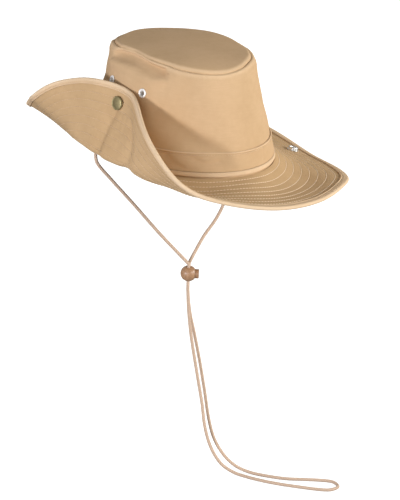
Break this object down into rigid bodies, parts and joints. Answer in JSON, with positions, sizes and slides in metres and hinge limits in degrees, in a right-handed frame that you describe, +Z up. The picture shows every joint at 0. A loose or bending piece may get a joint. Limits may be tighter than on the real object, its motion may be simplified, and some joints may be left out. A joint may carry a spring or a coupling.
{
  "type": "bush hat",
  "caption": "Cotton bush hat with a tapered flat-topped crown, a wide brim with one side snapped up, and a chin cord with a ball lock.",
  "frame": {"origin": "middle of the head opening, at the height of the seam where crown and brim meet", "axes": "+Z up out of the crown, front of the hat at -Y, turned up side of the brim at -X"},
  "size_m": [0.2598, 0.3515, 0.4286],
  "materials": {
    "khaki_twill": "matt cotton twill",
    "brim_twill": "matt cotton twill in rows of stitching",
    "binding_tape": "matt folded cotton tape",
    "brass": "aged satin",
    "silver": "satin nickel",
    "cord_cotton": "round braid",
    "ball_wood": "satin varnish",
    "plunger_wood": "satin varnish"
  },
  "bodies": {
    "hat": {"crown_tip": "khaki_twill", "crown_side": "khaki_twill", "hat_band": "khaki_twill", "base_strip": "khaki_twill", "brim": "brim_twill", "brim_binding": "binding_tape", "eyelet_left_front": "silver", "eyelet_left_back": "silver", "eyelet_right_front": "silver", "eyelet_right_back": "silver", "snap_cap": "brass", "snap_post": "silver", "snap_stud": "silver", "snap_stud_cap": "brass", "crown_snap_right": "silver", "chin_cord": "cord_cotton", "cord_ball": "ball_wood"},
    "plunger": {"cord_plunger": "plunger_wood"}
  },
  "joints": [
    {"name": "plunger_press", "type": "slide", "parent": "hat", "child": "plunger", "axis": [-0.7986, 0.6018, 0], "range_m": [0, 0.0018], "stiffness_N_per_m": 300}
  ]
}
